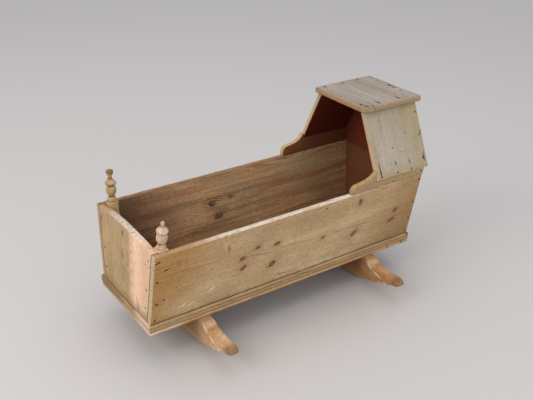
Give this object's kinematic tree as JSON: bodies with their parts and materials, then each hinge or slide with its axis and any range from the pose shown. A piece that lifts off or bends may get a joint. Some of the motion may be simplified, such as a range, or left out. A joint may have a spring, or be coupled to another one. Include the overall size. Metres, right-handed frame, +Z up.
{
  "type": "baby cradle",
  "caption": "Hooded rocking cradle of flared pine boards with an arched foot, scrolled cheeks, turned corner finials, a nosed base moulding and two curved rockers.",
  "frame": {"origin": "centre of the bounding box at floor level, where the worn flats under the rockers rest", "axes": "+X towards the hood (the sleeper's head), +Y to the sleeper's left, +Z up"},
  "size_m": [0.948, 0.608, 0.569],
  "materials": {
    "pine_walls": "stripped pine, dry and matt, worn smooth",
    "pine_foot": "stripped pine, dry and matt",
    "pine_hood": "weathered pale pine outside, old dark stain inside",
    "pine_roof": "weathered grey-brown pine",
    "pine_posts": "turned pine, handled smooth",
    "pine_moulding": "stripped pine, dry",
    "pine_base": "stripped pine, dry",
    "pine_rockers": "stripped pine, dry, worn toes",
    "hardwood_dowels": "plain",
    "iron_nails": "rusted, matt"
  },
  "bodies": {
    "root": {"base_board": "pine_base", "side_board_left": "pine_walls", "side_board_right": "pine_walls", "cheek_left": "pine_walls", "cheek_right": "pine_walls", "foot_board": "pine_foot", "head_board_lower": "pine_walls", "head_board_upper": "pine_walls", "hood_panel_left": "pine_hood", "hood_panel_right": "pine_hood", "hood_roof": "pine_roof", "corner_post_left": "pine_posts", "corner_post_right": "pine_posts", "moulding_left": "pine_moulding", "moulding_right_foot": "pine_moulding", "moulding_right_head": "pine_moulding", "moulding_foot": "pine_moulding", "moulding_head": "pine_moulding", "rocker_foot": "pine_rockers", "rocker_head": "pine_rockers", "dowels_cheek": "hardwood_dowels", "nails_foot_corner": "iron_nails", "nails_head_corner": "iron_nails", "nails_foot_post": "iron_nails", "nails_hood": "iron_nails", "nails_roof": "iron_nails", "nails_base": "iron_nails", "nails_rocker": "iron_nails", "pins_moulding": "iron_nails"}
  },
  "joints": []
}
